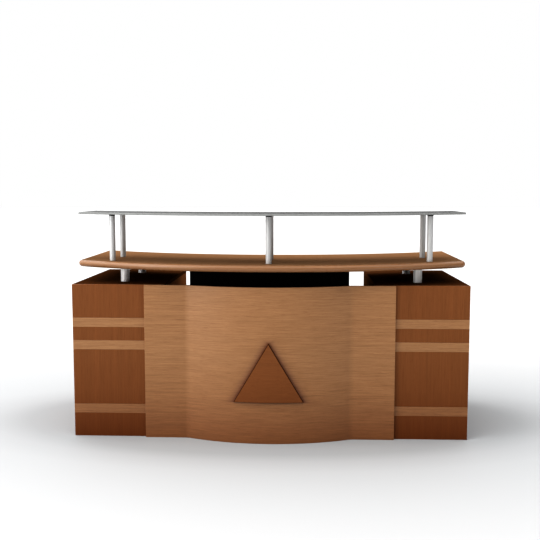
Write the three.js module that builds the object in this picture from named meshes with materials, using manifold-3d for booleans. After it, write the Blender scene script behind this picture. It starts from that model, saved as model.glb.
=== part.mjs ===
// A checkout counter: two veneered pedestals joined by a bowed front panel, a crescent-shaped
// wooden top on short posts, and a glass shelf above it on six long posts. One pedestal holds
// three drawers, the other a cupboard with a pivoted door. A black unit stands between them.
//
// Millimetres, +Z up. The customers stand on the -Y side and the staff on the +Y side. While the
// pieces are placed, Y = 0 is the front face of the pedestals; at the end the counter is moved so
// that its origin is the middle of its base.

import * as THREE from 'three';
import { mergeVertices } from 'three/addons/utils/BufferGeometryUtils.js';
import Module from 'manifold-3d';

const wasm = await Module();
wasm.setup();

// ---------------------------------------------------------------- driving dimensions

const counterWidth = 2000;
const gap = 0.3; // between pieces that touch
const boardThickness = 18;

const pedestalWidth = 466;
const pedestalDepth = 800;
const pedestalHeight = 783;
const bottomBoardRise = 12; // underside of the bottom board above the floor

const bandHeight = 47.5;
const bandThickness = 3;
const bandBottoms = { lower: 120.8, middle: 449.8, upper: 566 };

const frontClearance = 3; // above and below each drawer front and the door
const sideClearance = 2; // beside each drawer front and the door

const topDrawerHeight = 150;
const middleDrawerHeight = 260; // the bottom drawer takes the height that is left
const drawerDepth = 600;
const drawerWall = 12;
const drawerBase = 6;
const drawerDrop = 25; // top of a drawer front above its box
const drawerRise = 15; // underside of a box above the bottom of its front
const runnerWidth = 12.4;
const runnerHeight = 35;
const runnerSheet = 1.6;
const runnerRise = 20; // bottom of a runner above the underside of the box

const handleSpan = 128; // between the centres of a handle's two feet
const handleReach = 28; // from the front to the middle of the grip
const handleRadius = 5;
const handleBend = 12;

const pivotPinRadius = 3;
const pivotPinLength = 12;
const pivotPlateLength = 40;
const pivotPlateThickness = 2.1;
const pivotBoreClearance = 0.35;

const shelfHeight = 380;
const shelfSetback = 12; // behind the door

const panelLap = 97; // of each wing over the front of its pedestal
const panelThickness = 16;
const panelBulge = 90;
const panelRadius = 990; // outer face of the bow
const panelFillet = 80; // where the bow runs into the flat wings

const plaqueBase = 347;
const plaqueHeight = 295;
const plaqueBottom = 211;
const plaqueThickness = 12;

const centreWidth = 798;
const centreDepth = 250;
const centreShelfHeight = 520;

const shortPostRadius = 22.5;
const shortPostLength = 78.9;
const shortPostInset = 240; // from the end of the counter
const shortPostRows = { front: 150, rear: 596 };

const topThickness = 34;
const topFrontMiddle = -164;
const topFrontEnd = 125;
const topBackMiddle = 510;
const topBackEnd = 821;

const longPostRadius = 15;
const longPostLength = 230.6;
const longPostInset = 191;
const endPostRows = { front: 87, rear: 328 };
const middlePostRows = { front: -71, rear: 170 };
const padHeight = 6;

const glassThickness = 10;
const glassFrontMiddle = -160;
const glassFrontEnd = 148;
const glassBackMiddle = 209;
const glassBackEnd = 502;

// ---------------------------------------------------------------- materials

function finish(name, color, roughness, metalness = 0) {
  return new THREE.MeshStandardMaterial({ name, color, roughness, metalness });
}

const darkVeneer = finish('dark_veneer', 0x78421f, 0.5);
const lightVeneer = finish('light_veneer', 0xa0734b, 0.45);
const topVeneer = finish('top_veneer', 0xa8723f, 0.35);
const blackLaminate = finish('black_laminate', 0x0c0b0b, 0.5);
const drawerLining = finish('drawer_lining', 0xc9c4ba, 0.6);
const satinSteel = finish('satin_steel', 0xc4c6c8, 0.3, 0.9);
const zincSteel = finish('zinc_steel', 0x9a9c9e, 0.4, 0.9);
const blackRubber = finish('black_rubber', 0x141414, 0.8);
const glass = finish('glass', 0x8f9a99, 0.05);
glass.transparent = true;
glass.opacity = 0.5;

// ---------------------------------------------------------------- helpers

const counter = new THREE.Group();
const X = new THREE.Vector3(1, 0, 0);
const Y = new THREE.Vector3(0, 1, 0);
const Z = new THREE.Vector3(0, 0, 1);

function place(name, geometry, material, x = 0, y = 0, z = 0) {
  const mesh = new THREE.Mesh(geometry, material);
  mesh.name = name;
  mesh.position.set(x, y, z);
  counter.add(mesh);
}

// A rectangular board or bar, given by its lowest and highest coordinate on each axis.
function boxBetween([x0, x1], [y0, y1], [z0, z1]) {
  const box = new THREE.BoxGeometry(x1 - x0, y1 - y0, z1 - z0);
  return box.translate((x0 + x1) / 2, (y0 + y1) / 2, (z0 + z1) / 2);
}

// An upright cylinder whose bottom is at z = 0.
function post(radius, height, sides = 20) {
  const cylinder = new THREE.CylinderGeometry(radius, radius, height, sides);
  return cylinder.rotateX(Math.PI / 2).translate(0, 0, height / 2);
}

// A plan outline, drawn in X and Y, made a plate that stands on z = 0.
function plate(outline, height, curveSegments = 32) {
  return new THREE.ExtrudeGeometry(outline, { depth: height, bevelEnabled: false, curveSegments });
}

// An outline drawn in Y and Z, drawn out along X from x = 0.
function alongX(outline, length) {
  const turn = new THREE.Matrix4().makeBasis(Y, Z, X);
  return plate(outline, length).applyMatrix4(turn);
}

// An outline drawn in X and Z, drawn out along Y from y = 0.
function alongY(outline, length) {
  const turn = new THREE.Matrix4().makeBasis(X, Z, Y.clone().negate());
  return plate(outline, length).applyMatrix4(turn).translate(0, length, 0);
}

function polygon(points) {
  return new THREE.Shape(points.map(([a, b]) => new THREE.Vector2(a, b)));
}

function toSolid(geometry) {
  const bare = geometry.clone();
  bare.deleteAttribute('normal');
  bare.deleteAttribute('uv');
  const merged = mergeVertices(bare);
  const vertProperties = new Float32Array(merged.attributes.position.array);
  const triVerts = new Uint32Array(merged.index.array);
  return new wasm.Manifold(new wasm.Mesh({ numProp: 3, vertProperties, triVerts }));
}

function toGeometry(solid) {
  const { vertProperties, triVerts } = solid.getMesh();
  const geometry = new THREE.BufferGeometry();
  geometry.setAttribute('position', new THREE.BufferAttribute(vertProperties, 3));
  geometry.setIndex(new THREE.BufferAttribute(triVerts, 1));
  geometry.computeVertexNormals();
  return geometry;
}

// Radius of the arc that spans twice the half chord and rises by the sagitta.
function arcRadius(halfChord, sagitta) {
  return (halfChord ** 2 + sagitta ** 2) / (2 * sagitta);
}

// Adds to a path the arc between (-half, endY) and (half, endY) that passes through (0, middleY).
function addBow(path, half, endY, middleY, leftToRight) {
  const radius = arcRadius(half, endY - middleY);
  const spread = Math.asin(half / radius);
  const left = -Math.PI / 2 - spread;
  const right = -Math.PI / 2 + spread;
  const [from, to] = leftToRight ? [left, right] : [right, left];
  path.absarc(0, middleY + radius, radius, from, to, !leftToRight);
}

// ---------------------------------------------------------------- derived places

const halfWidth = counterWidth / 2;
const innerSideFace = halfWidth - pedestalWidth; // of each pedestal, from the middle
const carcassBack = pedestalDepth;
const topBoardUnderside = pedestalHeight - boardThickness;
const bottomBoardTop = bottomBoardRise + boardThickness;
const frontsBottom = bottomBoardTop + frontClearance;
const frontsTop = topBoardUnderside - frontClearance;
const frontsInner = carcassBack - boardThickness; // inner face of the drawer fronts and the door
const topUnderside = pedestalHeight + shortPostLength + 2 * gap;
const topSurface = topUnderside + topThickness;
const padBottom = topSurface + longPostLength + 2 * gap;
const glassUnderside = padBottom + padHeight + gap;
const posts = { left: -1, centre: 0, right: 1 };

// ---------------------------------------------------------------- pedestals

// The front board has a shallow housing across it for each inlaid band.
function frontBoardOutline() {
  const points = [[boardThickness, 0], [boardThickness, pedestalHeight], [0, pedestalHeight]];
  for (const bottom of Object.values(bandBottoms).reverse()) {
    const top = bottom + bandHeight;
    const depth = bandThickness + gap;
    points.push([0, top + gap], [depth, top + gap], [depth, bottom - gap], [0, bottom - gap]);
  }
  points.push([0, 0]);
  return polygon(points);
}

function addPedestal(side, sign) {
  const outer = sign * halfWidth;
  const inner = sign * innerSideFace;
  const across = [Math.min(outer, inner), Math.max(outer, inner)];
  const boards = {
    outer_side: [outer - sign * boardThickness, outer],
    inner_side: [inner, inner + sign * boardThickness],
  };
  const behindFront = [boardThickness + gap, carcassBack];

  place(`${side}_front_board`, alongX(frontBoardOutline(), pedestalWidth), darkVeneer, across[0]);
  for (const [name, [a, b]] of Object.entries(boards)) {
    const span = [Math.min(a, b), Math.max(a, b)];
    const upright = boxBetween(span, behindFront, [0, topBoardUnderside - gap]);
    place(`${side}_${name}`, upright, darkVeneer);
  }
  const topSpan = [topBoardUnderside, pedestalHeight];
  place(`${side}_top_board`, boxBetween(across, behindFront, topSpan), darkVeneer);
  const clear = boardThickness + gap;
  const between = [across[0] + clear, across[1] - clear];
  const bottomSpan = [bottomBoardRise, bottomBoardTop];
  place(`${side}_bottom_board`, boxBetween(between, behindFront, bottomSpan), darkVeneer);

  for (const [level, bottom] of Object.entries(bandBottoms)) {
    const strip = boxBetween(across, [0, bandThickness], [bottom, bottom + bandHeight]);
    place(`${side}_band_${level}`, strip, lightVeneer);
  }
  return between;
}

// A bow handle bent from round bar. Its feet stand on y = 0 and it reaches out along +Y.
function handle(span, upright = false) {
  const half = span / 2;
  const bend = Math.min(handleBend, half, handleReach);
  const path = new THREE.CurvePath();
  const corners = [
    [-half, 0], [-half, handleReach - bend], [-half, handleReach], [-half + bend, handleReach],
    [half - bend, handleReach], [half, handleReach], [half, handleReach - bend], [half, 0],
  ].map(([a, y]) => (upright ? new THREE.Vector3(0, y, a) : new THREE.Vector3(a, y, 0)));
  path.add(new THREE.LineCurve3(corners[0], corners[1]));
  path.add(new THREE.QuadraticBezierCurve3(corners[1], corners[2], corners[3]));
  path.add(new THREE.LineCurve3(corners[3], corners[4]));
  path.add(new THREE.QuadraticBezierCurve3(corners[4], corners[5], corners[6]));
  path.add(new THREE.LineCurve3(corners[6], corners[7]));
  const section = new THREE.Shape().absarc(0, 0, handleRadius, 0, 2 * Math.PI, false);
  const options = { steps: 28, extrudePath: path, curveSegments: 5, bevelEnabled: false };
  return new THREE.ExtrudeGeometry(section, options);
}

// An open-topped tray.
function drawerBox([x0, x1], [y0, y1], [z0, z1]) {
  const inside = boxBetween(
    [x0 + drawerWall, x1 - drawerWall],
    [y0 + drawerWall, y1 - drawerWall],
    [z0 + drawerBase, z1 + drawerBase],
  );
  const outside = boxBetween([x0, x1], [y0, y1], [z0, z1]);
  return toGeometry(toSolid(outside).subtract(toSolid(inside)));
}

// A steel channel that opens towards +X when opens is 1 and towards -X when it is -1.
function runnerOutline(opens) {
  const near = 0;
  const far = opens * runnerWidth;
  const web = opens * runnerSheet;
  const points = [
    [near, 0], [far, 0], [far, runnerSheet], [web, runnerSheet],
    [web, runnerHeight - runnerSheet], [far, runnerHeight - runnerSheet],
    [far, runnerHeight], [near, runnerHeight],
  ];
  return polygon(opens > 0 ? points : points.reverse());
}

function addDrawers([x0, x1]) {
  const left = x0 - gap;
  const right = x1 + gap;
  const middle = (left + right) / 2;
  const bottomDrawerTop = frontsTop - topDrawerHeight - middleDrawerHeight - 2 * frontClearance;
  const spans = {
    top: [frontsTop - topDrawerHeight, frontsTop],
    middle: [bottomDrawerTop + frontClearance, bottomDrawerTop + frontClearance + middleDrawerHeight],
    bottom: [frontsBottom, bottomDrawerTop],
  };
  const boxSpan = [left + runnerWidth + 2 * gap, right - runnerWidth - 2 * gap];
  const boxBack = frontsInner - gap - drawerDepth;

  for (const [level, [z0, z1]] of Object.entries(spans)) {
    const faceSpan = [left + sideClearance, right - sideClearance];
    const face = boxBetween(faceSpan, [frontsInner, carcassBack], [z0, z1]);
    place(`${level}_drawer_front`, face, darkVeneer);
    const boxDepth = [boxBack, frontsInner - gap];
    const boxHeight = [z0 + drawerRise, z1 - drawerDrop];
    place(`${level}_drawer_box`, drawerBox(boxSpan, boxDepth, boxHeight), drawerLining);
    const grip = handle(handleSpan);
    place(`${level}_drawer_handle`, grip, satinSteel, middle, carcassBack + gap, (z0 + z1) / 2);
    const runnerBottom = z0 + drawerRise + runnerRise;
    place(`${level}_runner_outer`, alongY(runnerOutline(1), drawerDepth), zincSteel,
      left + gap, boxBack, runnerBottom);
    place(`${level}_runner_inner`, alongY(runnerOutline(-1), drawerDepth), zincSteel,
      right - gap, boxBack, runnerBottom);
  }
}

// ---------------------------------------------------------------- cupboard

// The door turns on two pins in its top and bottom edges. Its hinge edge is rounded about them.
function addCupboard([x0, x1]) {
  const left = x0 - gap + sideClearance;
  const right = x1 + gap - sideClearance;
  const half = boardThickness / 2;
  const pivotX = right - half;
  const pivotY = carcassBack - half;

  const outline = new THREE.Shape();
  outline.moveTo(left, carcassBack - boardThickness);
  outline.lineTo(pivotX, carcassBack - boardThickness);
  outline.absarc(pivotX, pivotY, half, -Math.PI / 2, Math.PI / 2, false);
  outline.lineTo(left, carcassBack);
  outline.closePath();
  const bore = post(pivotPinRadius + pivotBoreClearance, pivotPinLength + 2);
  const doorHeight = frontsTop - frontsBottom;
  let door = toSolid(plate(outline, doorHeight, 12));
  for (const z of [-1, doorHeight - pivotPinLength - 1]) {
    door = door.subtract(toSolid(bore.clone().translate(pivotX, pivotY, z)));
  }
  place('cupboard_door', toGeometry(door), darkVeneer, 0, 0, frontsBottom);

  const leafY = [pivotY - half + 1, pivotY + half - 1];
  const leafX = [pivotX - pivotPlateLength + half, pivotX + half - 1];
  for (const [level, plateBottom, pinBottom] of [
    ['upper', topBoardUnderside - gap - pivotPlateThickness, topBoardUnderside - gap - pivotPinLength],
    ['lower', bottomBoardTop + gap, bottomBoardTop + gap],
  ]) {
    const leaf = boxBetween(leafX, leafY, [plateBottom, plateBottom + pivotPlateThickness]);
    const pin = post(pivotPinRadius, pivotPinLength).translate(pivotX, pivotY, pinBottom);
    place(`door_pivot_${level}`, toGeometry(toSolid(leaf).add(toSolid(pin))), zincSteel);
  }

  const gripHeight = (frontsBottom + frontsTop) / 2 + handleSpan;
  const gripX = left + 3 * handleBend;
  place('door_handle', handle(handleSpan, true), satinSteel, gripX, carcassBack + gap, gripHeight);

  const shelfDepth = [boardThickness + 2 * gap, frontsInner - shelfSetback];
  const shelf = boxBetween([x0, x1], shelfDepth, [shelfHeight, shelfHeight + boardThickness]);
  place('cupboard_shelf', shelf, darkVeneer);
}

// ---------------------------------------------------------------- front panel and plaque

const wingFace = -gap - panelThickness;
const bowCentre = wingFace - panelBulge + panelRadius;

// A bent board of even thickness: flat wings, a fillet at each side, and a bow between them.
function panelOutline() {
  const filletY = wingFace - panelFillet;
  const filletX = Math.sqrt((panelRadius + panelFillet) ** 2 - (bowCentre - filletY) ** 2);
  const turn = Math.atan2(bowCentre - filletY, filletX);
  const half = innerSideFace + panelLap;
  const back = wingFace + panelThickness;
  const inner = panelFillet + panelThickness;
  const outline = new THREE.Shape();
  outline.moveTo(-half, wingFace);
  outline.lineTo(-filletX, wingFace);
  outline.absarc(-filletX, filletY, panelFillet, Math.PI / 2, turn, true);
  outline.absarc(0, bowCentre, panelRadius, turn + Math.PI, 2 * Math.PI - turn, false);
  outline.absarc(filletX, filletY, panelFillet, Math.PI - turn, Math.PI / 2, true);
  outline.lineTo(half, wingFace);
  outline.lineTo(half, back);
  outline.lineTo(filletX, back);
  outline.absarc(filletX, filletY, inner, Math.PI / 2, Math.PI - turn, false);
  outline.absarc(0, bowCentre, panelRadius - panelThickness, 2 * Math.PI - turn, turn + Math.PI, true);
  outline.absarc(-filletX, filletY, inner, turn, Math.PI / 2, false);
  outline.lineTo(-half, back);
  outline.closePath();
  return outline;
}

// The plaque follows the bow: a triangular prism cut out of a thin curved shell.
function plaque() {
  const near = panelRadius + gap;
  const far = near + plaqueThickness;
  const spread = Math.asin(Math.min(1, (plaqueBase / 2 + plaqueThickness) / near));
  const from = -Math.PI / 2 - spread;
  const to = -Math.PI / 2 + spread;
  const shell = new THREE.Shape();
  shell.absarc(0, bowCentre, far, from, to, false);
  shell.absarc(0, bowCentre, near, to, from, true);
  shell.closePath();
  const triangle = polygon([[-plaqueBase / 2, 0], [plaqueBase / 2, 0], [0, plaqueHeight]]);
  const reach = far - near * Math.cos(spread);
  const prism = alongY(triangle, reach).translate(0, bowCentre - far, 0);
  const curved = plate(shell, plaqueHeight + 2, 24).translate(0, 0, -1);
  return toGeometry(toSolid(curved).intersect(toSolid(prism)));
}

// ---------------------------------------------------------------- black centre unit

function addCentreUnit() {
  const half = centreWidth / 2;
  const height = [0, topUnderside - gap];
  place('centre_board', boxBetween([-half, half], [gap, boardThickness], height), blackLaminate);
  const depth = [boardThickness + gap, centreDepth];
  for (const [side, sign] of [['left', -1], ['right', 1]]) {
    const edges = [sign * half, sign * (half - boardThickness)].sort((a, b) => a - b);
    place(`centre_side_${side}`, boxBetween(edges, depth, height), blackLaminate);
  }
  const reach = half - boardThickness - gap;
  const level = [centreShelfHeight, centreShelfHeight + boardThickness];
  place('centre_shelf', boxBetween([-reach, reach], depth, level), blackLaminate);
}

// ---------------------------------------------------------------- top, shelf and posts

// The top is a slice of a bull-nosed ring, cut off square at its ends and hollowed at the back.
function counterTop() {
  const nose = topThickness / 2;
  const radius = arcRadius(halfWidth, topFrontEnd - topFrontMiddle);
  const middle = topFrontMiddle + radius;
  const bore = (middle - topBackMiddle) / 2;
  const profile = [new THREE.Vector2(bore, -nose)];
  for (let step = 0; step <= 8; step += 1) {
    const angle = (step / 8 - 0.5) * Math.PI;
    const x = radius - nose + nose * Math.cos(angle);
    profile.push(new THREE.Vector2(x, nose * Math.sin(angle)));
  }
  profile.push(new THREE.Vector2(bore, nose), new THREE.Vector2(bore, -nose));
  const ring = new THREE.LatheGeometry(profile, 240).rotateX(Math.PI / 2).translate(0, middle, 0);

  const outline = new THREE.Shape();
  outline.moveTo(-halfWidth, topFrontMiddle - nose);
  outline.lineTo(halfWidth, topFrontMiddle - nose);
  outline.lineTo(halfWidth, topBackEnd);
  addBow(outline, halfWidth, topBackEnd, topBackMiddle, false);
  outline.closePath();
  const cutter = plate(outline, 2 * topThickness).translate(0, 0, -topThickness);
  const slice = toSolid(ring).intersect(toSolid(cutter));
  return toGeometry(slice).translate(0, 0, nose);
}

function glassShelf() {
  const outline = new THREE.Shape();
  addBow(outline, halfWidth, glassFrontEnd, glassFrontMiddle, true);
  outline.lineTo(halfWidth, glassBackEnd);
  addBow(outline, halfWidth, glassBackEnd, glassBackMiddle, false);
  outline.closePath();
  return plate(outline, glassThickness, 20);
}

function addShortPosts() {
  for (const [side, sign] of [['left', -1], ['right', 1]]) {
    for (const [row, y] of Object.entries(shortPostRows)) {
      place(`short_post_${side}_${row}`, post(shortPostRadius, shortPostLength), satinSteel,
        sign * (halfWidth - shortPostInset), y, pedestalHeight + gap);
    }
  }
}

function addGlassPosts() {
  for (const [side, sign] of Object.entries(posts)) {
    const rows = sign === 0 ? middlePostRows : endPostRows;
    for (const [row, y] of Object.entries(rows)) {
      const x = sign * (halfWidth - longPostInset);
      place(`glass_post_${side}_${row}`, post(longPostRadius, longPostLength), satinSteel,
        x, y, topSurface + gap);
      place(`post_pad_${side}_${row}`, post(longPostRadius, padHeight), blackRubber, x, y, padBottom);
    }
  }
}

// ---------------------------------------------------------------- assembly

addDrawers(addPedestal('left', -1));
addCupboard(addPedestal('right', 1));
place('front_panel', plate(panelOutline(), pedestalHeight, 12), lightVeneer);
place('triangle_plaque', plaque(), darkVeneer, 0, 0, plaqueBottom);
addCentreUnit();
addShortPosts();
place('counter_top', counterTop(), topVeneer, 0, 0, topUnderside);
addGlassPosts();
place('glass_shelf', glassShelf(), glass, 0, 0, glassUnderside);

const footprint = new THREE.Box3().setFromObject(counter);
counter.position.y = -(footprint.min.y + footprint.max.y) / 2;

export default counter;
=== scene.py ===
import math

import bmesh
import bpy
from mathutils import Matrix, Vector


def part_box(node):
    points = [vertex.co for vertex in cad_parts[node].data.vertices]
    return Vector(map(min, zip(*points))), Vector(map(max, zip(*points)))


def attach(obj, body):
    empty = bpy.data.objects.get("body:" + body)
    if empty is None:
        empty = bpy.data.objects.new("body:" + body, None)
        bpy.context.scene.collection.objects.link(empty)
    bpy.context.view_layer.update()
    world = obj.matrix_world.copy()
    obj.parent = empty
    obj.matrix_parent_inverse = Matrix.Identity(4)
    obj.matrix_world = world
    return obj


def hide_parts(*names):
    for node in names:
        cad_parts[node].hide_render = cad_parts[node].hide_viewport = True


# The finished counter stands around its joinery model, which is in metres: X runs along the
# counter, the customers stand on the -Y side, the staff on the +Y side, and Z is up.
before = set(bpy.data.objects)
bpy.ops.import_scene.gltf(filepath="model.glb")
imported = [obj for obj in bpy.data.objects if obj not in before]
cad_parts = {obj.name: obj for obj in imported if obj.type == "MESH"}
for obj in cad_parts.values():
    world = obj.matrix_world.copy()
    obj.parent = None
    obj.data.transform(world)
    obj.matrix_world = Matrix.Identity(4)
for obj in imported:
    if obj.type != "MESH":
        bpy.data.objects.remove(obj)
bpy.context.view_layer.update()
bpy.ops.object.select_all(action="DESELECT")


# ------------------------------------------------------------------------ room and camera
# A pale studio floor without edges, in plain white surroundings. A broad soft lamp stands to the
# customer's left, a weaker one to the right, and more soft light comes from high on the left. The
# camera is at standing eye level, a little right of the middle.
room = bpy.context.scene
room.view_settings.view_transform = "Standard"
room.view_settings.gamma = 0.75

# The surroundings light the counter more from above and from the left, and look plain white.
surroundings = bpy.data.worlds.new("white surroundings")
room.world = surroundings
surroundings.use_nodes = True
sky_nodes, sky_links = surroundings.node_tree.nodes, surroundings.node_tree.links
look = sky_nodes.new("ShaderNodeTexCoord")
height = sky_nodes.new("ShaderNodeSeparateXYZ")
brightness = sky_nodes.new("ShaderNodeMapRange")
brightness.interpolation_type = "SMOOTHSTEP"
brightness.inputs["To Min"].default_value = 0.06
brightness.inputs["To Max"].default_value = 2.32
glow = sky_nodes.new("ShaderNodeMapRange")
glow.inputs["From Max"].default_value = -1.0
glow.interpolation_type = "SMOOTHSTEP"
glow.inputs["To Max"].default_value = 1.75
total = sky_nodes.new("ShaderNodeMath")
sight = sky_nodes.new("ShaderNodeLightPath")
seen = sky_nodes.new("ShaderNodeMix")
seen.inputs["B"].default_value = 1.0
sky_links.new(look.outputs["Generated"], height.inputs["Vector"])
sky_links.new(height.outputs["Z"], brightness.inputs["Value"])
sky_links.new(height.outputs["X"], glow.inputs["Value"])
sky_links.new(brightness.outputs["Result"], total.inputs[0])
sky_links.new(glow.outputs["Result"], total.inputs[1])
sky_links.new(total.outputs["Value"], seen.inputs["A"])
sky_links.new(sight.outputs["Is Camera Ray"], seen.inputs["Factor"])
sky_links.new(seen.outputs["Result"], sky_nodes["Background"].inputs["Strength"])
sky_nodes["Background"].inputs["Color"].default_value = (1, 1, 1, 1)

middle_of_counter = Vector((0, 0, 0.6))
for lamp_name, across, energy in (("soft light", -3.2, 35), ("weaker soft light", 3.2, 5)):
    lamp_place = Vector((across, -2.9, 1.5))
    lamp_aim = middle_of_counter - lamp_place
    bpy.ops.object.light_add(
        type="AREA", location=lamp_place, rotation=lamp_aim.to_track_quat("-Z", "Y").to_euler()
    )
    lamp = bpy.context.object
    lamp.name = lamp_name
    lamp.data.shape = "RECTANGLE"
    lamp.data.size = 1.8
    lamp.data.size_y = 2.2
    lamp.data.energy = energy

bpy.ops.object.light_add(type="SUN", rotation=(math.radians(50), 0, math.radians(-62)))
high_light = bpy.context.object
high_light.name = "high soft light"
high_light.data.angle = math.radians(50)
high_light.data.energy = 0.62

# Painted shadow: the floor is painted a little darker and cooler in an oval under and beside the
# counter.
bpy.ops.mesh.primitive_circle_add(vertices=96, radius=60, fill_type="NGON")
floor = bpy.context.object
floor.name = "studio_floor"
floor_shadow_paint = bpy.data.materials.new("pale floor, painted shadow")
floor_shadow_paint.use_nodes = True
floor_nodes, floor_links = floor_shadow_paint.node_tree.nodes, floor_shadow_paint.node_tree.links
paint = floor_nodes["Principled BSDF"]
paint.inputs["Roughness"].default_value = 0.9
paint.inputs["Specular IOR Level"].default_value = 0.0
spot = floor_nodes.new("ShaderNodeTexCoord")
oval = floor_nodes.new("ShaderNodeMapping")
oval.inputs["Scale"].default_value = (0.45, 1, 1)
distance = floor_nodes.new("ShaderNodeVectorMath")
distance.operation = "LENGTH"
shadow_spread = floor_nodes.new("ShaderNodeMapRange")
shadow_spread.inputs["From Min"].default_value = 0.5
shadow_spread.inputs["From Max"].default_value = 3.3
tone = floor_nodes.new("ShaderNodeValToRGB")
tone.color_ramp.elements[0].position = 0.036
tone.color_ramp.elements[0].color = (0.377, 0.385, 0.392, 1)
tone.color_ramp.elements[1].position = 0.964
tone.color_ramp.elements[1].color = (0.57, 0.57, 0.57, 1)
tone.color_ramp.elements.new(0.071).color = (0.423, 0.430, 0.437, 1)
tone.color_ramp.elements.new(0.121).color = (0.450, 0.457, 0.463, 1)
tone.color_ramp.elements.new(0.357).color = (0.473, 0.475, 0.478, 1)
floor_links.new(spot.outputs["Object"], oval.inputs["Vector"])
floor_links.new(oval.outputs["Vector"], distance.inputs[0])
floor_links.new(distance.outputs["Value"], shadow_spread.inputs["Value"])
floor_links.new(shadow_spread.outputs["Result"], tone.inputs["Fac"])
floor_links.new(tone.outputs["Color"], paint.inputs["Base Color"])
floor.data.materials.append(floor_shadow_paint)

look_down = 0.09729
look_left = 0.03913
bpy.ops.object.camera_add(
    location=(0.1579, -4.27365, 1.2444),
    rotation=(math.radians(90) - look_down, 0, look_left),
)
camera = bpy.context.object
camera.data.sensor_width = 36
camera.data.lens = 52.807
room.camera = camera


# --------------------------------------------------------------------------- pedestals
# Two carcasses of chipboard 18 mm thick, veneered dark with the grain upright on the fronts and
# sides. The front board covers the edges of the sides and has a shallow housing for each band.
def veneer(name, deep, middle, pale, run, roughness=0.42, gloss=0.12, figure=0.12, pores=0.25):
    """Wood veneer. run is how many fibres a metre cross the X, Y and Z directions."""
    material = bpy.data.materials.new(name)
    material.use_nodes = True
    nodes, links = material.node_tree.nodes, material.node_tree.links
    shader = nodes["Principled BSDF"]
    shader.inputs["Specular IOR Level"].default_value = gloss
    place = nodes.new("ShaderNodeTexCoord")

    def grain(share, detail, warp):
        lay = nodes.new("ShaderNodeMapping")
        lay.inputs["Scale"].default_value = [share * each for each in run]
        lay.inputs["Location"].default_value = (3.1 * share, 5.7, 1.9)
        noise = nodes.new("ShaderNodeTexNoise")
        noise.inputs["Scale"].default_value = 1
        noise.inputs["Detail"].default_value = detail
        noise.inputs["Roughness"].default_value = 0.62
        noise.inputs["Distortion"].default_value = warp
        links.new(place.outputs["Object"], lay.inputs["Vector"])
        links.new(lay.outputs["Vector"], noise.inputs["Vector"])
        return noise.outputs["Fac"]

    def stops(value, *pairs):
        ramp = nodes.new("ShaderNodeValToRGB")
        ramp.color_ramp.elements[0].position, ramp.color_ramp.elements[0].color = pairs[0]
        ramp.color_ramp.elements[1].position, ramp.color_ramp.elements[1].color = pairs[-1]
        for position, colour in pairs[1:-1]:
            ramp.color_ramp.elements.new(position).color = colour
        links.new(value, ramp.inputs["Fac"])
        return ramp.outputs["Color"]

    def multiply(under, over):
        mix = nodes.new("ShaderNodeMix")
        mix.data_type, mix.blend_type = "RGBA", "MULTIPLY"
        mix.inputs["Factor"].default_value = 1
        links.new(under, mix.inputs[6])
        links.new(over, mix.inputs[7])
        return mix.outputs[2]

    fibres = grain(1.0, 4, 0.15)
    colour = stops(fibres, (0.32, (*deep, 1)), (0.5, (*middle, 1)), (0.68, (*pale, 1)))
    broad = grain(0.16, 2, 0.6)
    low, high = 1 - figure, 1 + figure
    colour = multiply(colour, stops(broad, (0.3, (low, low, low, 1)), (0.7, (high, high, high, 1))))

    fine = grain(3.6, 2, 0)
    speck = 1 - pores
    dark_pore = (speck, speck ** 1.5, speck ** 2, 1)
    pore = stops(fine, (0.36, dark_pore), (0.44, (1, 1, 1, 1)))
    colour = multiply(colour, pore)

    # Painted shade: the wood is painted deeper and warmer in tone towards the floor, for the shade
    # that falls near it.
    parts = nodes.new("ShaderNodeSeparateXYZ")
    links.new(place.outputs["Object"], parts.inputs["Vector"])
    floor_shade_paint = stops(
        parts.outputs["Z"],
        (0.0, (0.61, 0.45, 0.29, 1)),
        (0.06, (0.69, 0.54, 0.40, 1)),
        (0.25, (0.90, 0.85, 0.79, 1)),
        (0.42, (0.98, 0.98, 0.98, 1)),
        (0.78, (1.04, 1.04, 1.04, 1)),
    )
    links.new(multiply(colour, floor_shade_paint), shader.inputs["Base Color"])

    sheen = nodes.new("ShaderNodeMapRange")
    sheen.inputs["From Min"].default_value = 0.3
    sheen.inputs["From Max"].default_value = 0.7
    sheen.inputs["To Min"].default_value = roughness + 0.06
    sheen.inputs["To Max"].default_value = roughness - 0.05
    links.new(fibres, sheen.inputs["Value"])
    links.new(sheen.outputs["Result"], shader.inputs["Roughness"])
    relief = nodes.new("ShaderNodeBump")
    relief.inputs["Strength"].default_value = 0.25
    relief.inputs["Distance"].default_value = 0.0002
    links.new(fine, relief.inputs["Height"])
    links.new(relief.outputs["Normal"], shader.inputs["Normal"])
    return material


def block(name, low, high):
    """A squared block between two corners."""
    bpy.ops.object.select_all(action="DESELECT")
    low, high = Vector(low), Vector(high)
    bpy.ops.mesh.primitive_cube_add(size=1, location=(low + high) / 2, scale=high - low)
    bpy.ops.object.transform_apply(location=True, rotation=True, scale=True)
    piece = bpy.context.object
    piece.name = name
    return piece


def combine(piece, other, how):
    """Cuts another solid out of a piece, joins it on, or keeps what the two share."""
    bpy.context.view_layer.objects.active = piece
    piece.modifiers.new("combine", "BOOLEAN")
    piece.modifiers["combine"].operation = how
    piece.modifiers["combine"].object = other
    piece.modifiers["combine"].solver = "EXACT"
    bpy.ops.object.modifier_apply(modifier="combine")
    bpy.data.objects.remove(other)


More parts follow.
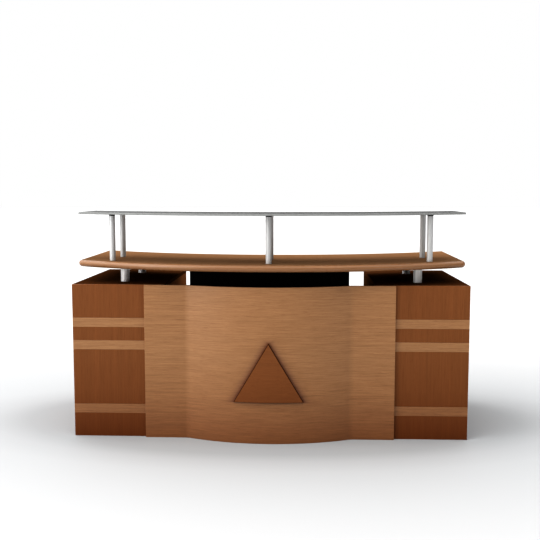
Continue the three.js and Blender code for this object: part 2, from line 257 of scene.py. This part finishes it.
def ease(piece, width, steps=2):
    """Takes the sharpness off every edge and smooths what is left."""
    sharp = math.radians(40)
    bpy.ops.object.select_all(action="DESELECT")
    bpy.context.view_layer.objects.active = piece
    piece.select_set(True)
    bpy.ops.object.mode_set(mode="EDIT")
    bpy.ops.mesh.select_mode(type="EDGE")
    bpy.ops.mesh.select_all(action="DESELECT")
    bpy.ops.mesh.edges_select_sharp(sharpness=sharp)
    bpy.ops.mesh.bevel(offset=width, segments=steps, clamp_overlap=True)
    bpy.ops.object.mode_set(mode="OBJECT")
    smooth(piece)


def smooth(piece):
    """Smooth shading that leaves the flat faces flat."""
    bpy.ops.object.select_all(action="DESELECT")
    bpy.context.view_layer.objects.active = piece
    piece.select_set(True)
    bpy.ops.object.shade_smooth_by_angle(angle=math.radians(62))
    piece.modifiers.new("even", "WEIGHTED_NORMAL")
    piece.modifiers["even"].keep_sharp = True
    bpy.ops.object.modifier_apply(modifier="even")


def fit(piece, finish, slot, body, *nodes):
    """Gives a piece its finish and its place on the counter, for the joinery it stands for."""
    piece.data.materials.clear()
    piece.data.materials.append(finish)
    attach(piece, body)
    if nodes:
        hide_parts(*nodes)


dark_tones = (0.200, 0.0785, 0.0262), (0.212, 0.0838, 0.0284), (0.225, 0.0895, 0.0306)
dark_upright = veneer(
    "dark veneer, grain upright", *dark_tones, (260, 260, 4), figure=0.045, pores=0.15
)
dark_level = veneer(
    "dark veneer, grain along the counter", *dark_tones, (4, 260, 260), figure=0.045, pores=0.15
)
inner_upright = veneer(
    "dark veneer, dull inside", *dark_tones, (260, 260, 4), gloss=0, figure=0.045, pores=0.15
)
# Painted shade: a copy of the dark veneer made almost black for the right pedestal's inner side,
# which lies in shadow.
shade_dark_upright = veneer(
    "dark veneer, painted shade",
    (0.038, 0.015, 0.0050), (0.042, 0.017, 0.0057), (0.046, 0.019, 0.0063), (260, 260, 4),
    gloss=0, figure=0.045,
)
# Painted shade: a copy of the dark veneer made almost black for the pedestals' level boards, which
# lie in deep shade under the wooden top.
shade_dark_level = veneer(
    "dark veneer, painted deep shade",
    (0.062, 0.022, 0.0070), (0.070, 0.026, 0.0082), (0.080, 0.030, 0.0098), (4, 260, 260),
    gloss=0, figure=0.045,
)
board_ease = 0.0008
housing_clearance = 0.0003
overrun = 0.01
inner_finish = {"left_inner_side": inner_upright, "right_inner_side": shade_dark_upright}

for side in ("left", "right"):
    node = f"{side}_front_board"
    front = block(f"{side}_pedestal_front", *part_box(node))
    for level in ("lower", "middle", "upper"):
        low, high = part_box(f"{side}_band_{level}")
        margin = Vector((overrun, housing_clearance, housing_clearance))
        ahead = Vector((0, overrun, 0))
        combine(front, block("housing", low - margin - ahead, high + margin), "DIFFERENCE")
    ease(front, board_ease)
    fit(front, dark_upright, "dark_veneer", "counter", node)

    for part in ("outer_side", "inner_side"):
        node = f"{side}_{part}"
        upright = block(f"{side}_pedestal_{part}", *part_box(node))
        ease(upright, board_ease)
        fit(upright, inner_finish.get(node, dark_upright), "dark_veneer", "counter", node)

    # The level boards take the almost black copy of the veneer as painted shade.
    for part in ("top_board", "bottom_board"):
        node = f"{side}_{part}"
        level_board = block(f"{side}_pedestal_{part}", *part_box(node))
        ease(level_board, board_ease)
        fit(level_board, shade_dark_level, "dark_veneer", "counter", node)


# ------------------------------------------------------------------------------- bands
# Three strips of the paler veneer across each pedestal, 47.5 mm wide and 3 mm thick. Each is glued
# into its housing, flush with the front board, with its grain along the counter.
pale_level = veneer(
    "pale veneer, grain along the counter",
    (0.282, 0.141, 0.0555), (0.328, 0.170, 0.0710), (0.374, 0.200, 0.0875), (6.5, 6.5, 210),
    figure=0.018, gloss=0.55, pores=0.18,
)

strip_ease = 0.0003
for side in ("left", "right"):
    for level in ("lower", "middle", "upper"):
        node = f"{side}_band_{level}"
        strip = block(f"{side}_inlaid_strip_{level}", *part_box(node))
        ease(strip, strip_ease, 1)
        fit(strip, pale_level, "light_veneer", "counter", node)


# ------------------------------------------------------------------------- front panel
# One bent board of glued veneers, 16 mm thick, whose flat wings are glued to the pedestals. It
# swells towards the customers in a bow that runs into the wings through a small hollow each side.
def cross_section(name, corners):
    """A single upright face, the end of a board that is about to be drawn out."""
    bpy.ops.object.select_all(action="DESELECT")
    low, high = corners
    middle = (low + high) / 2
    bpy.ops.mesh.primitive_plane_add(size=1, location=middle, rotation=(0, math.radians(90), 0))
    piece = bpy.context.object
    piece.scale = (high.z - low.z, high.y - low.y, 1)
    bpy.ops.object.transform_apply(location=True, rotation=True, scale=True)
    piece.name = name
    bpy.ops.object.mode_set(mode="EDIT")
    bpy.ops.mesh.select_mode(type="FACE")
    bpy.ops.mesh.select_all(action="SELECT")
    return piece


def draw_out(*way):
    """Draws the selected face out straight, along X, Y and Z."""
    bpy.ops.mesh.extrude_region_move(TRANSFORM_OT_translate={"value": way})


def bend(centre, degrees, steps, axis=(0, 0, 1)):
    """Draws the selected end on round a centre; positive degrees turn left, seen from above."""
    bpy.ops.mesh.spin(steps=steps, angle=math.radians(-degrees), center=centre, axis=axis)


def close_up(piece):
    """Merges the doubled points and turns every face outwards."""
    bpy.ops.mesh.select_all(action="SELECT")
    bpy.ops.mesh.remove_doubles(threshold=1e-5)
    bpy.ops.mesh.normals_make_consistent(inside=False)
    bpy.ops.object.mode_set(mode="OBJECT")


panel_low, panel_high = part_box("front_panel")
panel_thickness = 0.016
panel_bulge = 0.090
bow_radius = 0.990
hollow_radius = 0.080
panel_ease = 0.0015
wing_front = panel_high.y - panel_thickness
bow_centre = wing_front - panel_bulge + bow_radius
hollow_y = wing_front - hollow_radius
hollow_x = math.sqrt((bow_radius + hollow_radius) ** 2 - (bow_centre - hollow_y) ** 2)
hollow_turn = 90 - math.degrees(math.atan2(bow_centre - hollow_y, hollow_x))
wing_length = panel_high.x - hollow_x

hollow_steps = 8
bow_steps = 56
edge_low = Vector((panel_low.x, wing_front, 0))
edge_high = Vector((panel_low.x, panel_high.y, panel_high.z))
panel = cross_section("bowed_front_panel", (edge_low, edge_high))
draw_out(wing_length, 0, 0)
bend((-hollow_x, hollow_y, 0), -hollow_turn, hollow_steps)
bend((0, bow_centre, 0), 2 * hollow_turn, bow_steps)
bend((hollow_x, hollow_y, 0), -hollow_turn, hollow_steps)
draw_out(wing_length, 0, 0)
close_up(panel)
ease(panel, panel_ease)
fit(panel, pale_level, "light_veneer", "counter", "front_panel")


# ------------------------------------------------------------------------------ plaque
# A triangle of dark veneered board, bent to the same bow and glued to the middle of the panel. Its
# edge is cut back in a narrow step, stained deep brown and made darker still as painted shade for
# the contact shadow. The panel has a painted shadow, a soft darker band round the plaque, most
# beside its two slopes.
plaque_thickness = 0.012
plaque_gap = 0.0003
plaque_ease = 0.0004
step_width = 0.0018
step_depth = 0.003
plaque_low, plaque_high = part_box("triangle_plaque")
plaque_back = bow_centre - bow_radius - plaque_gap
plaque_face = bow_radius + plaque_gap + plaque_thickness


def bent_triangle(name, back, thickness, share):
    """A triangle cut from a board that is bent to the bow of the panel."""
    reach = 14
    low, high = plaque_low.z - overrun, plaque_high.z + overrun
    board = cross_section(name, (Vector((0, back - thickness, low)), Vector((0, back, high))))
    bpy.ops.transform.rotate(
        value=math.radians(reach), orient_axis="Z", center_override=(0, bow_centre, 0)
    )
    bend((0, bow_centre, 0), 2 * reach, 28)
    close_up(board)
    size = plaque_high - plaque_low
    bpy.ops.object.select_all(action="DESELECT")
    bpy.ops.mesh.primitive_cylinder_add(
        vertices=3, radius=1, depth=1, location=(0, back, plaque_low.z + size.z / 3),
        rotation=(math.radians(90), 0, 0),
    )
    outline = bpy.context.object
    outline.scale = (share * size.x / math.sqrt(3), share * size.z / 1.5, 0.2)
    bpy.ops.object.transform_apply(location=True, rotation=True, scale=True)
    combine(board, outline, "INTERSECT")
    return board


plaque = bent_triangle("bent_triangle_plaque", plaque_back, plaque_thickness - step_depth, 1)
sunk = 0.004
inner_share = 1 - 3 * step_width / (plaque_high.z - plaque_low.z)
raised = bent_triangle("raised face", plaque_back - sunk, plaque_thickness - sunk, inner_share)
combine(plaque, raised, "UNION")
ease(plaque, plaque_ease, 1)


def second_finish(piece, finish, wanted):
    """Gives another finish to the faces whose normal and middle pass a test."""
    piece.data.materials.append(finish)
    place = len(piece.data.materials) - 1
    for face in piece.data.polygons:
        if wanted(face.normal, face.center):
            face.material_index = place


def speckled(
    name, ground, fleck, grain, roughness, relief=0.0001, metal=0.0, softness=0.1, gloss=0.2
):
    """An even finish with a faint mottle. grain is how many specks a metre cross each direction."""
    material = bpy.data.materials.new(name)
    material.use_nodes = True
    nodes, links = material.node_tree.nodes, material.node_tree.links
    shader = nodes["Principled BSDF"]
    shader.inputs["Metallic"].default_value = metal
    shader.inputs["Specular IOR Level"].default_value = gloss
    place = nodes.new("ShaderNodeTexCoord")
    lay = nodes.new("ShaderNodeMapping")
    lay.inputs["Scale"].default_value = grain
    noise = nodes.new("ShaderNodeTexNoise")
    noise.inputs["Scale"].default_value = 1
    noise.inputs["Detail"].default_value = 3
    ramp = nodes.new("ShaderNodeValToRGB")
    ramp.color_ramp.elements[0].position = 0.5 - softness
    ramp.color_ramp.elements[0].color = (*ground, 1)
    ramp.color_ramp.elements[1].position = 0.5 + softness
    ramp.color_ramp.elements[1].color = (*fleck, 1)
    sheen = nodes.new("ShaderNodeMapRange")
    sheen.inputs["From Min"].default_value = 0.35
    sheen.inputs["From Max"].default_value = 0.65
    sheen.inputs["To Min"].default_value = roughness * 0.85
    sheen.inputs["To Max"].default_value = roughness * 1.15
    bump = nodes.new("ShaderNodeBump")
    bump.inputs["Strength"].default_value = 0.3
    bump.inputs["Distance"].default_value = relief
    links.new(place.outputs["Object"], lay.inputs["Vector"])
    links.new(lay.outputs["Vector"], noise.inputs["Vector"])
    links.new(noise.outputs["Fac"], ramp.inputs["Fac"])
    links.new(noise.outputs["Fac"], sheen.inputs["Value"])
    links.new(noise.outputs["Fac"], bump.inputs["Height"])
    links.new(ramp.outputs["Color"], shader.inputs["Base Color"])
    links.new(sheen.outputs["Result"], shader.inputs["Roughness"])
    links.new(bump.outputs["Normal"], shader.inputs["Normal"])
    return material


def painted_shadow_band(finish, sides, band):
    """A copy of a finish with a painted shadow, darker round a shape. Each side is a point, its
    outward way and how many times faster than across the whole band the tone fades there."""
    material = finish.copy()
    material.name = f"{finish.name}, painted shadow round it"
    nodes, links = material.node_tree.nodes, material.node_tree.links
    shader = nodes["Principled BSDF"]
    under = shader.inputs["Base Color"].links[0].from_socket
    place = nodes.new("ShaderNodeTexCoord")
    away = None
    for point, way, times_faster in sides:
        outward = way.normalized() * times_faster / band
        across = nodes.new("ShaderNodeVectorMath")
        across.operation = "DOT_PRODUCT"
        across.inputs[1].default_value = outward
        beyond = nodes.new("ShaderNodeMath")
        beyond.operation = "SUBTRACT"
        beyond.inputs[1].default_value = outward.dot(point)
        links.new(place.outputs["Object"], across.inputs[0])
        links.new(across.outputs["Value"], beyond.inputs[0])
        if away is None:
            away = beyond.outputs["Value"]
            continue
        farther = nodes.new("ShaderNodeMath")
        farther.operation = "MAXIMUM"
        links.new(away, farther.inputs[0])
        links.new(beyond.outputs["Value"], farther.inputs[1])
        away = farther.outputs["Value"]
    # Painted shadow: darkest and warmest at the shape's edge, fading out across the band.
    fade = nodes.new("ShaderNodeValToRGB")
    stops = (
        (0.0, (0.42, 0.24, 0.08)),
        (0.06, (0.52, 0.34, 0.20)),
        (0.12, (0.66, 0.53, 0.44)),
        (0.18, (0.75, 0.68, 0.64)),
        (0.30, (0.85, 0.81, 0.80)),
        (0.43, (0.93, 0.91, 0.89)),
        (0.72, (0.985, 0.97, 0.95)),
        (1.0, (1, 1, 1)),
    )
    fade.color_ramp.elements[0].color = (*stops[0][1], 1)
    fade.color_ramp.elements[1].color = (*stops[-1][1], 1)
    for position, tone in stops[1:-1]:
        fade.color_ramp.elements.new(position).color = (*tone, 1)
    mix = nodes.new("ShaderNodeMix")
    mix.data_type, mix.blend_type = "RGBA", "MULTIPLY"
    mix.inputs["Factor"].default_value = 1
    links.new(away, fade.inputs["Fac"])
    links.new(under, mix.inputs[6])
    links.new(fade.outputs["Color"], mix.inputs[7])
    links.new(mix.outputs[2], shader.inputs["Base Color"])
    return material


peak = Vector((0, 0, plaque_high.z))
low_left = Vector((plaque_low.x, 0, plaque_low.z))
low_right = Vector((plaque_high.x, 0, plaque_low.z))
straight_up, straight_back = Vector((0, 0, 1)), Vector((0, 1, 0))
shadow_sides = (
    (peak, (peak - low_left).cross(straight_back), 1),
    (peak, (low_right - peak).cross(straight_back), 1),
    (peak, straight_up, 2),
    (low_left, -straight_up, 4),
)
shadow_band_width = 0.08
panel.data.materials[0] = painted_shadow_band(pale_level, shadow_sides, shadow_band_width)

# The stepped edge is partly a real deep brown stain and partly painted shade, made very dark for the
# contact shadow round the plaque.
edge_stain_and_shade = speckled(
    "deep brown stain, painted edge shade", (0.050, 0.015, 0.0035), (0.075, 0.024, 0.0060), (60, 60, 900), 0.6,
    gloss=0,
)
fit(plaque, dark_level, "dark_veneer", "counter", "triangle_plaque")
face_depth = 0.0008
second_finish(plaque, edge_stain_and_shade, lambda normal, middle: (
    math.hypot(middle.x, middle.y - bow_centre) < plaque_face - face_depth
))


# ------------------------------------------------------------------- black centre unit
# Four boards in black laminate between the pedestals: a front board that fills the view below the
# top, two sides and a shelf. They are dowelled together and carry the middle of the top.
black_laminate = speckled(
    "black laminate", (0.001, 0.001, 0.001), (0.002, 0.002, 0.002), (700, 700, 700), 0.6,
    gloss=0.02,
)
laminate_ease = 0.0006
for part in ("board", "side_left", "side_right", "shelf"):
    piece = block(f"black_unit_{part}", *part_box(f"centre_{part}"))
    ease(piece, laminate_ease)
    fit(piece, black_laminate, "black_laminate", "counter", f"centre_{part}")


# ------------------------------------------------------------------------- short posts
# Four tubes of brushed steel, 45 mm across, that lift the wooden top off the pedestals. Their steel
# is a paler copy of the long posts' steel, as painted light in the shade under the top. They are
# fixed from below with one bolt each, and the brushing runs along them.
def round_bar(name, low, high, sides=56):
    """An upright round bar that fills the box between two corners."""
    bpy.ops.object.select_all(action="DESELECT")
    bpy.ops.mesh.primitive_cylinder_add(
        vertices=sides, radius=(high.x - low.x) / 2, depth=high.z - low.z,
        location=(low + high) / 2,
    )
    bpy.ops.object.transform_apply(location=True, rotation=True, scale=True)
    bpy.context.object.name = name
    return bpy.context.object


# Painted light: this copy is paler than the long posts' steel.
lit_steel = speckled(
    "brushed steel, painted light", (0.84, 0.84, 0.83), (0.92, 0.92, 0.91), (1500, 1500, 12), 0.48,
    relief=0.00004, metal=0.5, softness=0.2, gloss=0.3,
)
tube_ease = 0.001
for side in ("left", "right"):
    for row in ("front", "rear"):
        node = f"short_post_{side}_{row}"
        tube = round_bar(f"short_steel_tube_{side}_{row}", *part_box(node))
        ease(tube, tube_ease)
        fit(tube, lit_steel, "satin_steel", "counter", node)


# ------------------------------------------------------------------------- wooden top
# A crescent of veneered board 34 mm thick. Its front edge and its ends are rounded over in solid
# wood, its corners are rounded in plan, and its hollow back edge is only eased.
def crescent(name, low, high, front_end, back_middle):
    """A level board with a bowed front and a hollow back, cut off square at its ends."""

    def disc(middle, end, deep):
        rise = end - middle
        radius = (high.x ** 2 + rise ** 2) / (2 * rise)
        bpy.ops.object.select_all(action="DESELECT")
        bpy.ops.mesh.primitive_cylinder_add(
            vertices=480, radius=radius, depth=deep,
            location=(0, middle + radius, (low.z + high.z) / 2),
        )
        bpy.ops.object.transform_apply(location=True, rotation=True, scale=True)
        return bpy.context.object

    board = disc(low.y, front_end, high.z - low.z)
    combine(board, disc(back_middle, high.y, 1), "DIFFERENCE")
    board.name = name
    board.select_set(True)
    bpy.ops.object.mode_set(mode="EDIT")
    for end in (low.x, high.x):
        bpy.ops.mesh.select_all(action="SELECT")
        outward = (math.copysign(1, end), 0, 0)
        bpy.ops.mesh.bisect(
            plane_co=(end, 0, 0), plane_no=outward, use_fill=True, clear_outer=True
        )
    close_up(board)
    return board


def pick_edges(piece, wanted):
    """Selects, in edit mode, just the edges whose two ends pass a test."""
    bpy.ops.mesh.select_mode(type="EDGE")
    bpy.ops.mesh.select_all(action="DESELECT")
    mesh = bmesh.from_edit_mesh(piece.data)
    for edge in mesh.edges:
        if wanted(edge.verts[0].co, edge.verts[1].co):
            edge.select_set(True)
    bmesh.update_edit_mesh(piece.data)


top_low, top_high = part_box("counter_top")
top_front_end = top_low.y + 0.289
top_back_middle = top_low.y + 0.674
top_corner = 0.022
top_ease = 0.0015
top_nose = (top_high.z - top_low.z) / 2 - 0.0001
top_end = top_high.x - 0.0001
level_slack = 0.001
upright_least = 0.03
back_strip = 0.002


def back_line(x, middle, end, half):
    """How far back the hollow back edge stands at a place along the counter."""
    rise = end - middle
    radius = (half ** 2 + rise ** 2) / (2 * rise)
    return middle + radius - math.sqrt(radius ** 2 - x ** 2)


top = crescent("wooden_counter_top", top_low, top_high, top_front_end, top_back_middle)
bpy.ops.object.mode_set(mode="EDIT")
pick_edges(top, lambda a, b: abs(a.z - b.z) > upright_least and abs(a.x) > top_end and a.y < 0)
bpy.ops.mesh.bevel(offset=top_corner, segments=6, affect="EDGES")
pick_edges(top, lambda a, b: abs(a.z - b.z) < level_slack and all(
    p.y < back_line(p.x, top_back_middle, top_high.y, top_high.x) - back_strip
    or abs(p.x) > top_end for p in (a, b)
))
bpy.ops.mesh.bevel(offset=top_nose, segments=8, affect="EDGES")
bpy.ops.object.mode_set(mode="OBJECT")
ease(top, top_ease)

top_level = veneer(
    "counter top veneer, grain along the counter",
    (0.200, 0.110, 0.055), (0.223, 0.125, 0.065), (0.250, 0.143, 0.077), (4, 160, 40),
    roughness=0.36, gloss=0, figure=0.05,
)
solid_edge = veneer(
    "solid wood edging, grain round the edge",
    (0.240, 0.116, 0.046), (0.265, 0.131, 0.054), (0.292, 0.149, 0.064), (7, 7, 300),
    roughness=0.26, gloss=0.65, figure=0.03, pores=0.15,
)
fit(top, top_level, "top_veneer", "counter", "counter_top")
nearly_level = 0.985
second_finish(top, solid_edge, lambda normal, middle: abs(normal.z) < nearly_level)


# -------------------------------------------------------------------------- long posts
# Six brushed steel bars, 30 mm across, stand in two rows on the top and carry the glass. Each has a
# black rubber pad on its end, so that the glass doesn't rest on steel.
brushed_steel = speckled(
    "brushed steel", (0.52, 0.52, 0.515), (0.61, 0.61, 0.605), (1500, 1500, 12), 0.48,
    relief=0.00004, metal=0.5, softness=0.2, gloss=0.3,
)
rubber = speckled(
    "black rubber", (0.010, 0.010, 0.010), (0.018, 0.018, 0.018), (900, 900, 900), 0.75,
)
bar_ease = 0.0008
pad_ease = 0.001
bar_sides = 48
for side in ("left", "centre", "right"):
    for row in ("front", "rear"):
        node = f"glass_post_{side}_{row}"
        bar = round_bar(f"long_steel_bar_{side}_{row}", *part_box(node), bar_sides)
        ease(bar, bar_ease)
        fit(bar, brushed_steel, "satin_steel", "counter", node)
        node = f"post_pad_{side}_{row}"
        pad = round_bar(f"rubber_cap_{side}_{row}", *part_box(node), bar_sides)
        ease(pad, pad_ease)
        fit(pad, rubber, "black_rubber", "counter", node)


# ------------------------------------------------------------------------- glass shelf
# A crescent of toughened grey glass, 10 mm thick, that lies on the rubber pads. Its edges are ground
# and polished, so they look paler than its faces.
def tinted(name, colour, roughness, clear):
    """Toned glass with a very slightly uneven tone."""
    material = bpy.data.materials.new(name)
    material.use_nodes = True
    nodes, links = material.node_tree.nodes, material.node_tree.links
    shader = nodes["Principled BSDF"]
    shader.inputs["Roughness"].default_value = roughness
    shader.inputs["Transmission Weight"].default_value = clear
    shader.inputs["Specular IOR Level"].default_value = 0.12
    shader.inputs["IOR"].default_value = 1.3
    place = nodes.new("ShaderNodeTexCoord")
    noise = nodes.new("ShaderNodeTexNoise")
    noise.inputs["Scale"].default_value = 3
    tone = nodes.new("ShaderNodeValToRGB")
    tone.color_ramp.elements[0].color = [0.96 * each for each in colour] + [1]
    tone.color_ramp.elements[1].color = [*colour, 1]
    links.new(place.outputs["Object"], noise.inputs["Vector"])
    links.new(noise.outputs["Fac"], tone.inputs["Fac"])
    links.new(tone.outputs["Color"], shader.inputs["Base Color"])
    return material


glass_low, glass_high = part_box("glass_shelf")
glass_front_end = glass_low.y + 0.308
glass_back_middle = glass_low.y + 0.369
glass_ease = 0.0012
grey_glass = tinted("grey glass", (0.194, 0.195, 0.190), 0.25, 0.35)
ground_edge = tinted("ground edge of the glass", (0.36, 0.363, 0.356), 0.35, 0.2)
shelf = crescent(
    "grey_glass_shelf", glass_low, glass_high, glass_front_end, glass_back_middle
)
ease(shelf, glass_ease, 1)
fit(shelf, grey_glass, "glass", "counter", "glass_shelf")
steep = 0.9
second_finish(shelf, ground_edge, lambda normal, middle: abs(normal.z) < steep)


# ----------------------------------------------------------------------------- drawers
# Three drawers in the left pedestal. Each is a lined tray screwed to a veneered front, with a bow
# handle bent from steel bar. The gaps between the fronts are 3 mm.
def pick_faces(piece, wanted):
    """Selects, in edit mode, just the faces whose normal and middle pass a test."""
    bpy.ops.mesh.select_mode(type="FACE")
    bpy.ops.mesh.select_all(action="DESELECT")
    mesh = bmesh.from_edit_mesh(piece.data)
    for face in mesh.faces:
        if wanted(face.normal, face.calc_center_median()):
            face.select_set(True)
    bmesh.update_edit_mesh(piece.data)


def bow_handle(name, low, high, upright=False):
    """A bow of round bar, bent from foot to foot, with a small collar at each foot."""
    radius = 0.005
    curve = 0.012
    curve_steps = 8
    collar_radius = 0.008
    collar_depth = 0.003
    along = Vector((0, 0, 1)) if upright else Vector((1, 0, 0))
    turn_axis = Vector((-1, 0, 0)) if upright else Vector((0, 0, 1))
    middle = (low + high) / 2
    half_span = ((high - low).dot(along) / 2 - radius) * along
    start = Vector((middle.x, low.y, middle.z)) - half_span
    reach = high.y - low.y - radius
    bpy.ops.object.select_all(action="DESELECT")
    bpy.ops.mesh.primitive_circle_add(
        vertices=20, radius=radius, fill_type="NGON", location=start,
        rotation=(math.radians(90), 0, 0),
    )
    bpy.ops.object.transform_apply(location=True, rotation=True, scale=True)
    bar = bpy.context.object
    bar.name = name
    bpy.ops.object.mode_set(mode="EDIT")
    bpy.ops.mesh.select_mode(type="FACE")
    bpy.ops.mesh.select_all(action="SELECT")
    out = Vector((0, reach - curve, 0))
    draw_out(*out)
    bend(start + out + curve * along, -90, curve_steps, turn_axis)
    draw_out(*(2 * half_span - 2 * curve * along))
    bend(start + out + 2 * half_span - curve * along, -90, curve_steps, turn_axis)
    draw_out(*-out)
    close_up(bar)
    for foot in (start, start + 2 * half_span):
        bpy.ops.object.select_all(action="DESELECT")
        bpy.ops.mesh.primitive_cylinder_add(
            vertices=28, radius=collar_radius, depth=collar_depth,
            location=foot + Vector((0, collar_depth / 2, 0)), rotation=(math.radians(90), 0, 0),
        )
        bpy.ops.object.transform_apply(location=True, rotation=True, scale=True)
        combine(bar, bpy.context.object, "UNION")
    ease(bar, 0.0004)
    return bar


lining = speckled(
    "pale drawer lining", (0.56, 0.53, 0.48), (0.62, 0.59, 0.54), (900, 260, 900), 0.55,
)
tray_wall = 0.012
tray_base = 0.006
tray_ease = 0.0012
face_ease = 0.001
for level in ("top", "middle", "bottom"):
    body = f"{level}_drawer"
    face = block(f"{level}_drawer_face", *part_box(f"{level}_drawer_front"))
    ease(face, face_ease)
    fit(face, dark_upright, "dark_veneer", body, f"{level}_drawer_front")

    low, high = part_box(f"{level}_drawer_box")
    tray = block(f"{level}_drawer_tray", low, high)
    bpy.ops.object.mode_set(mode="EDIT")
    pick_faces(tray, lambda normal, middle: normal.z > steep)
    bpy.ops.mesh.inset(thickness=tray_wall)
    draw_out(0, 0, low.z + tray_base - high.z)
    bpy.ops.object.mode_set(mode="OBJECT")
    ease(tray, tray_ease)
    fit(tray, lining, "drawer_lining", body, f"{level}_drawer_box")

    grip = bow_handle(f"{level}_drawer_bow_handle", *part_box(f"{level}_drawer_handle"))
    fit(grip, brushed_steel, "satin_steel", body, f"{level}_drawer_handle")


# ----------------------------------------------------------------------------- runners
# A channel folded from zinc-plated sheet 1.6 mm thick is screwed through its web to each side of the
# pedestal, and a narrower solid rail, screwed to the tray, slides in it with a small clearance.
zinc = speckled(
    "zinc plating", (0.34, 0.345, 0.35), (0.46, 0.465, 0.47), (160, 160, 160), 0.38, metal=1.0,
)
sheet = 0.0016
sheet_ease = 0.0003
rail_clearance = 0.0012
rail_setback = 0.004
rail_ease = 0.0008
for level in ("top", "middle", "bottom"):
    for side, towards_tray in (("outer", 1), ("inner", -1)):
        node = f"{level}_runner_{side}"
        low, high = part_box(node)
        channel = block(f"{level}_channel_{side}", low, high)
        reach = Vector((sheet, 0, 0)) * towards_tray
        room_in_it = (
            low + Vector((0, -overrun, sheet)) + reach,
            high + Vector((0, overrun, -sheet)) + reach,
        )
        combine(channel, block("hollow", *room_in_it), "DIFFERENCE")
        ease(channel, sheet_ease, 1)
        fit(channel, zinc, "zinc_steel", "counter", node)

        tray_low, tray_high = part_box(f"{level}_drawer_box")
        tray_side = tray_low.x if side == "outer" else tray_high.x
        web = low.x + sheet if side == "outer" else high.x - sheet
        near, far = sorted((tray_side, web + towards_tray * rail_clearance))
        rail = block(
            f"{level}_rail_{side}",
            (near, low.y + rail_setback, low.z + sheet + rail_clearance),
            (far, high.y - rail_setback, high.z - sheet - rail_clearance),
        )
        ease(rail, rail_ease)
        fit(rail, zinc, "zinc_steel", f"{level}_drawer")


# ---------------------------------------------------------------------------- cupboard
# The right pedestal has one shelf on four pins, and an inset door. The door turns on two steel pins
# in its top and bottom edges, so the edge at the hinge is rounded about them.
low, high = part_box("cupboard_door")
pivot_low, pivot_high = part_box("door_pivot_upper")
pivot_x = high.x - (high.y - low.y) / 2
pivot_y = (low.y + high.y) / 2
pin_radius = 0.003
bore_radius = 0.00335
pin_length = pivot_high.z - pivot_low.z
bore_depth = pin_length + 0.002
leaf_thickness = 0.0021
door_ease = 0.0007
small_ease = 0.0004
pin_sides = 24

door = block("veneered_cupboard_door", low, high)
bpy.ops.object.mode_set(mode="EDIT")
pick_edges(door, lambda a, b: abs(a.z - b.z) > 0.1 and a.x > pivot_x)
bpy.ops.mesh.bevel(offset=(high.y - low.y) / 2 - 0.00001, segments=10, affect="EDGES")
bpy.ops.object.mode_set(mode="OBJECT")
for end in (low.z, high.z):
    corner = Vector((bore_radius, bore_radius, bore_depth))
    middle = Vector((pivot_x, pivot_y, end))
    combine(door, round_bar("bore", middle - corner, middle + corner, pin_sides), "DIFFERENCE")
ease(door, door_ease)
fit(door, dark_upright, "dark_veneer", "door", "cupboard_door")

grip = bow_handle("cupboard_bow_handle", *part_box("door_handle"), upright=True)
fit(grip, brushed_steel, "satin_steel", "door", "door_handle")

for level in ("upper", "lower"):
    node = f"door_pivot_{level}"
    low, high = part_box(node)
    plate_end = high.z if level == "upper" else low.z
    plate_inner = plate_end - math.copysign(leaf_thickness, plate_end - (low.z + high.z) / 2)
    leaf_low, leaf_high = sorted((plate_end, plate_inner))
    leaf = block(f"steel_pivot_{level}", (low.x, low.y, leaf_low), (high.x, high.y, leaf_high))
    pin = round_bar(
        "pin",
        Vector((pivot_x - pin_radius, pivot_y - pin_radius, low.z)),
        Vector((pivot_x + pin_radius, pivot_y + pin_radius, high.z)),
        pin_sides,
    )
    combine(leaf, pin, "UNION")
    ease(leaf, small_ease)
    fit(leaf, zinc, "zinc_steel", "counter", node)

low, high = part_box("cupboard_shelf")
shelf_board = block("veneered_cupboard_shelf", low, high)
ease(shelf_board, board_ease)
fit(shelf_board, dark_level, "dark_veneer", "counter", "cupboard_shelf")

shelf_pin = 0.0025
pin_overhang = 0.009
pin_setback = 0.05
side_gap = 0.0002
for side, towards_middle in (("left", 1), ("right", -1)):
    wall = low.x if side == "left" else high.x
    for row, depth in (("front", low.y + pin_setback), ("rear", high.y - pin_setback)):
        near, far = sorted((wall, wall + towards_middle * pin_overhang))
        bpy.ops.object.select_all(action="DESELECT")
        bpy.ops.mesh.primitive_cylinder_add(
            vertices=pin_sides, radius=shelf_pin, depth=far - near,
            location=((near + far) / 2, depth, low.z - shelf_pin - side_gap),
            rotation=(0, math.radians(90), 0),
        )
        bpy.ops.object.transform_apply(location=True, rotation=True, scale=True)
        peg = bpy.context.object
        peg.name = f"shelf_pin_{side}_{row}"
        ease(peg, small_ease)
        fit(peg, zinc, "zinc_steel", "counter")


# --------------------------------------------------------------------------- sizes
# A helper that lists the two corners of a box, in metres.
def corners(box):
    return [list(corner) for corner in box]
